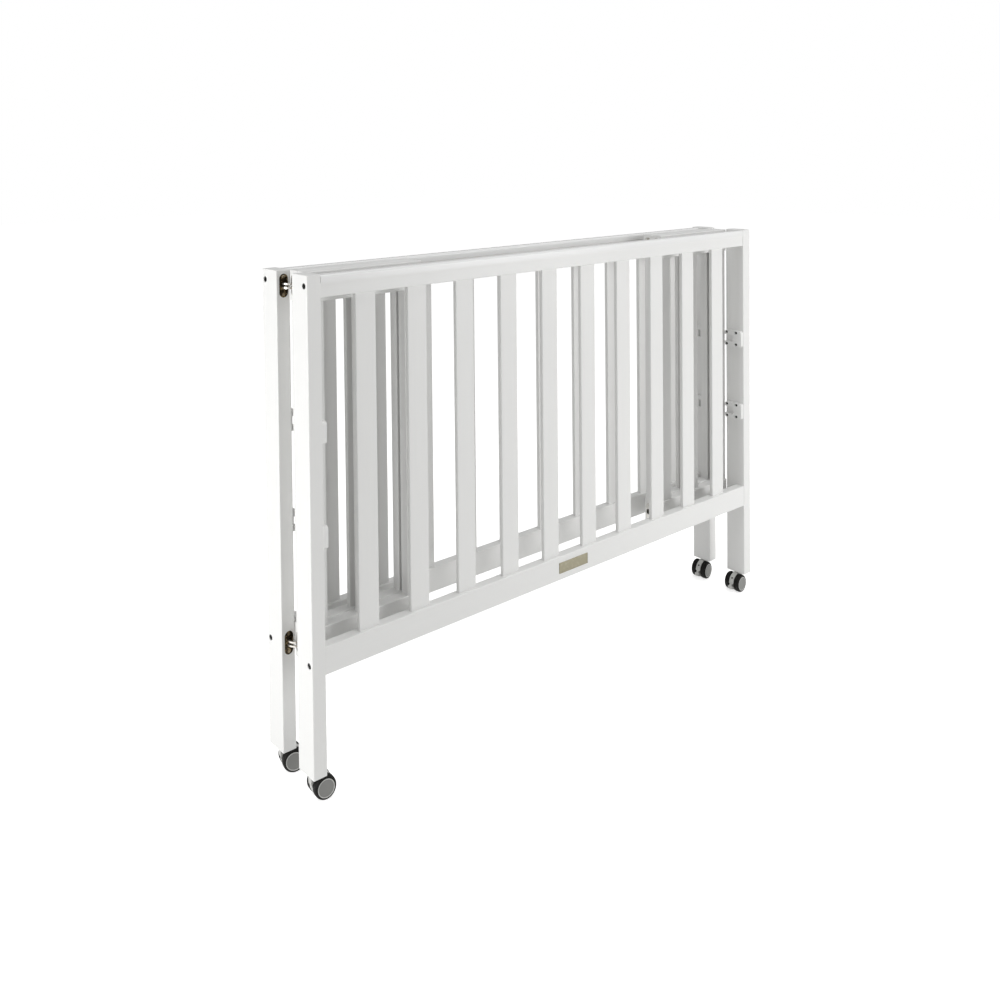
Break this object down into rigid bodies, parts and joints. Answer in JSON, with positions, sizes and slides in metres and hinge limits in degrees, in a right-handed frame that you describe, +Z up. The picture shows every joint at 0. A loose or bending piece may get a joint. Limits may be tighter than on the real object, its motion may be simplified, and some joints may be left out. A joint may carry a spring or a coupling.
{
  "type": "folding crib",
  "caption": "Folding wooden crib, shown folded flat: two slatted side frames joined by hinged half panels, standing on twin-wheel casters.",
  "frame": {"origin": "middle of the folded crib's footprint, on the floor under the casters", "axes": "+X along the crib's length to its right end, +Y through its folded depth to the back side frame, +Z up"},
  "size_m": [1.328, 0.14, 0.9],
  "materials": {
    "white_lacquer": "satin white lacquer",
    "white_plastic": "smooth white moulding",
    "bronze": "dark bronze",
    "steel": "satin",
    "dark_steel": "blackened",
    "grey_plastic": "grey moulding",
    "wheel_rubber": "black tread with grey hub face"
  },
  "bodies": {
    "front_side": {"front_left_post": "white_lacquer", "front_right_post": "white_lacquer", "front_top_rail": "white_lacquer", "front_bottom_rail": "white_lacquer", "front_slats": "white_lacquer", "front_rail_cover": "white_plastic", "front_post_hinge_cups": "bronze", "front_brackets": "white_plastic", "front_bolts": "dark_steel", "front_caster_stems": "steel"},
    "back_side": {"back_left_post": "white_lacquer", "back_right_post": "white_lacquer", "back_top_rail": "white_lacquer", "back_bottom_rail": "white_lacquer", "back_slats": "white_lacquer", "back_rail_cover": "white_plastic", "back_post_hinge_cups": "bronze", "back_brackets": "white_plastic", "back_bolts": "dark_steel", "back_caster_stems": "steel"},
    "front_left_half": {"front_left_panel_rails": "white_lacquer", "front_left_panel_stiles": "white_lacquer", "front_left_panel_slat": "white_lacquer", "front_left_panel_hinge_cups": "bronze"},
    "front_left_post_bars": {"front_left_post_hinge_bars": "steel"},
    "front_left_mid_links": {"front_left_middle_links": "steel"},
    "front_left_caster": {"front_left_caster_housing": "grey_plastic"},
    "front_left_caster_left_wheel_body": {"front_left_caster_left_wheel": "wheel_rubber"},
    "front_left_caster_right_wheel_body": {"front_left_caster_right_wheel": "wheel_rubber"},
    "front_left_brake": {"front_left_caster_brake_lever": "grey_plastic"},
    "front_right_half": {"front_right_panel_rails": "white_lacquer", "front_right_panel_stiles": "white_lacquer", "front_right_panel_slat": "white_lacquer", "front_right_panel_hinge_cups": "bronze"},
    "front_right_post_bars": {"front_right_post_hinge_bars": "steel"},
    "front_right_mid_links": {"front_right_middle_links": "steel"},
    "front_right_caster": {"front_right_caster_housing": "grey_plastic"},
    "front_right_caster_left_wheel_body": {"front_right_caster_left_wheel": "wheel_rubber"},
    "front_right_caster_right_wheel_body": {"front_right_caster_right_wheel": "wheel_rubber"},
    "front_right_brake": {"front_right_caster_brake_lever": "grey_plastic"},
    "back_left_half": {"back_left_panel_rails": "white_lacquer", "back_left_panel_stiles": "white_lacquer", "back_left_panel_slat": "white_lacquer", "back_left_panel_hinge_cups": "bronze"},
    "back_left_post_bars": {"back_left_post_hinge_bars": "steel"},
    "back_left_mid_links": {"back_left_middle_links": "steel"},
    "back_left_caster": {"back_left_caster_housing": "grey_plastic"},
    "back_left_caster_left_wheel_body": {"back_left_caster_left_wheel": "wheel_rubber"},
    "back_left_caster_right_wheel_body": {"back_left_caster_right_wheel": "wheel_rubber"},
    "back_left_brake": {"back_left_caster_brake_lever": "grey_plastic"},
    "back_right_half": {"back_right_panel_rails": "white_lacquer", "back_right_panel_stiles": "white_lacquer", "back_right_panel_slat": "white_lacquer", "back_right_panel_hinge_cups": "bronze"},
    "back_right_post_bars": {"back_right_post_hinge_bars": "steel"},
    "back_right_mid_links": {"back_right_middle_links": "steel"},
    "back_right_caster": {"back_right_caster_housing": "grey_plastic"},
    "back_right_caster_left_wheel_body": {"back_right_caster_left_wheel": "wheel_rubber"},
    "back_right_caster_right_wheel_body": {"back_right_caster_right_wheel": "wheel_rubber"},
    "back_right_brake": {"back_right_caster_brake_lever": "grey_plastic"}
  },
  "joints": [
    {"name": "crib_fold", "type": "hinge", "parent": "back_side", "child": "back_left_half", "pos_m": [-0.636, 0.024, 0.55], "axis": [0, 0, -1], "range_deg": [0, 90]},
    {"name": "left_middle_fold", "type": "hinge", "parent": "back_left_half", "child": "front_left_half", "pos_m": [-0.37, 0, 0.55], "axis": [0, 0, 1], "range_deg": [0, 180]},
    {"name": "left_front_fold", "type": "hinge", "parent": "front_left_half", "child": "front_side", "pos_m": [-0.636, -0.024, 0.55], "axis": [0, 0, -1], "range_deg": [0, 90]},
    {"name": "right_back_fold", "type": "hinge", "parent": "back_side", "child": "back_right_half", "pos_m": [0.636, 0.024, 0.55], "axis": [0, 0, 1], "range_deg": [0, 90]},
    {"name": "right_middle_fold", "type": "hinge", "parent": "back_right_half", "child": "front_right_half", "pos_m": [0.37, 0, 0.55], "axis": [0, 0, -1], "range_deg": [0, 180]},
    {"name": "front_left_hinge_bars_turn", "type": "hinge", "parent": "front_side", "child": "front_left_post_bars", "pos_m": [-0.636, -0.024, 0.55], "axis": [0, 0, 1], "range_deg": [0, 45]},
    {"name": "front_left_link_turn", "type": "hinge", "parent": "front_left_half", "child": "front_left_mid_links", "pos_m": [-0.376, -0.008, 0.55], "axis": [0, 0, -1], "range_deg": [0, 90]},
    {"name": "front_right_hinge_bars_turn", "type": "hinge", "parent": "front_side", "child": "front_right_post_bars", "pos_m": [0.636, -0.024, 0.55], "axis": [0, 0, -1], "range_deg": [0, 45]},
    {"name": "front_right_link_turn", "type": "hinge", "parent": "front_right_half", "child": "front_right_mid_links", "pos_m": [0.376, -0.008, 0.55], "axis": [0, 0, 1], "range_deg": [0, 90]},
    {"name": "back_left_hinge_bars_turn", "type": "hinge", "parent": "back_side", "child": "back_left_post_bars", "pos_m": [-0.636, 0.024, 0.55], "axis": [0, 0, -1], "range_deg": [0, 45]},
    {"name": "back_left_link_turn", "type": "hinge", "parent": "back_left_half", "child": "back_left_mid_links", "pos_m": [-0.376, 0.008, 0.55], "axis": [0, 0, 1], "range_deg": [0, 90]},
    {"name": "back_right_hinge_bars_turn", "type": "hinge", "parent": "back_side", "child": "back_right_post_bars", "pos_m": [0.636, 0.024, 0.55], "axis": [0, 0, 1], "range_deg": [0, 45]},
    {"name": "back_right_link_turn", "type": "hinge", "parent": "back_right_half", "child": "back_right_mid_links", "pos_m": [0.376, 0.008, 0.55], "axis": [0, 0, -1], "range_deg": [0, 90]},
    {"name": "front_left_swivel", "type": "hinge", "parent": "front_side", "child": "front_left_caster", "pos_m": [-0.65, -0.047, 0.035], "axis": [0, 0, 1], "continuous": true},
    {"name": "front_left_left_wheel_roll", "type": "hinge", "parent": "front_left_caster", "child": "front_left_caster_left_wheel_body", "pos_m": [-0.63412, -0.04895, 0.021], "axis": [0.1219, 0.9925, 0], "continuous": true},
    {"name": "front_left_right_wheel_roll", "type": "hinge", "parent": "front_left_caster", "child": "front_left_caster_right_wheel_body", "pos_m": [-0.63412, -0.04895, 0.021], "axis": [0.1219, 0.9925, 0], "continuous": true},
    {"name": "front_left_brake_press", "type": "hinge", "parent": "front_left_caster", "child": "front_left_brake", "pos_m": [-0.62171, -0.05047, 0.026], "axis": [0.1219, 0.9925, 0], "range_deg": [0, 15]},
    {"name": "front_right_swivel", "type": "hinge", "parent": "front_side", "child": "front_right_caster", "pos_m": [0.65, -0.047, 0.035], "axis": [0, 0, 1], "continuous": true},
    {"name": "front_right_left_wheel_roll", "type": "hinge", "parent": "front_right_caster", "child": "front_right_caster_left_wheel_body", "pos_m": [0.63401, -0.04756, 0.021], "axis": [0.0349, -0.9994, 0], "continuous": true},
    {"name": "front_right_right_wheel_roll", "type": "hinge", "parent": "front_right_caster", "child": "front_right_caster_right_wheel_body", "pos_m": [0.63401, -0.04756, 0.021], "axis": [0.0349, -0.9994, 0], "continuous": true},
    {"name": "front_right_brake_press", "type": "hinge", "parent": "front_right_caster", "child": "front_right_brake", "pos_m": [0.62152, -0.048, 0.026], "axis": [0.0349, -0.9994, 0], "range_deg": [0, 15]},
    {"name": "back_left_swivel", "type": "hinge", "parent": "back_side", "child": "back_left_caster", "pos_m": [-0.65, 0.047, 0.035], "axis": [0, 0, 1], "continuous": true},
    {"name": "back_left_left_wheel_roll", "type": "hinge", "parent": "back_left_caster", "child": "back_left_caster_left_wheel_body", "pos_m": [-0.63462, 0.04259, 0.021], "axis": [0.2756, 0.9613, 0], "continuous": true},
    {"name": "back_left_right_wheel_roll", "type": "hinge", "parent": "back_left_caster", "child": "back_left_caster_right_wheel_body", "pos_m": [-0.63462, 0.04259, 0.021], "axis": [0.2756, 0.9613, 0], "continuous": true},
    {"name": "back_left_brake_press", "type": "hinge", "parent": "back_left_caster", "child": "back_left_brake", "pos_m": [-0.6226, 0.03914, 0.026], "axis": [0.2756, 0.9613, 0], "range_deg": [0, 15]},
    {"name": "back_right_swivel", "type": "hinge", "parent": "back_side", "child": "back_right_caster", "pos_m": [0.65, 0.047, 0.035], "axis": [0, 0, 1], "continuous": true},
    {"name": "back_right_left_wheel_roll", "type": "hinge", "parent": "back_right_caster", "child": "back_right_caster_left_wheel_body", "pos_m": [0.63409, 0.04533, 0.021], "axis": [0.1045, -0.9945, 0], "continuous": true},
    {"name": "back_right_right_wheel_roll", "type": "hinge", "parent": "back_right_caster", "child": "back_right_caster_right_wheel_body", "pos_m": [0.63409, 0.04533, 0.021], "axis": [0.1045, -0.9945, 0], "continuous": true},
    {"name": "back_right_brake_press", "type": "hinge", "parent": "back_right_caster", "child": "back_right_brake", "pos_m": [0.62166, 0.04402, 0.026], "axis": [0.1045, -0.9945, 0], "range_deg": [0, 15]}
  ],
  "couplings": [
    {"joint": "left_middle_fold", "follows": "crib_fold", "ratio": 2},
    {"joint": "left_front_fold", "follows": "crib_fold", "ratio": 1},
    {"joint": "right_back_fold", "follows": "crib_fold", "ratio": 1},
    {"joint": "right_middle_fold", "follows": "crib_fold", "ratio": 2},
    {"joint": "front_left_hinge_bars_turn", "follows": "crib_fold", "ratio": 0.5},
    {"joint": "front_left_link_turn", "follows": "crib_fold", "ratio": 1},
    {"joint": "front_right_hinge_bars_turn", "follows": "crib_fold", "ratio": 0.5},
    {"joint": "front_right_link_turn", "follows": "crib_fold", "ratio": 1},
    {"joint": "back_left_hinge_bars_turn", "follows": "crib_fold", "ratio": 0.5},
    {"joint": "back_left_link_turn", "follows": "crib_fold", "ratio": 1},
    {"joint": "back_right_hinge_bars_turn", "follows": "crib_fold", "ratio": 0.5},
    {"joint": "back_right_link_turn", "follows": "crib_fold", "ratio": 1}
  ]
}
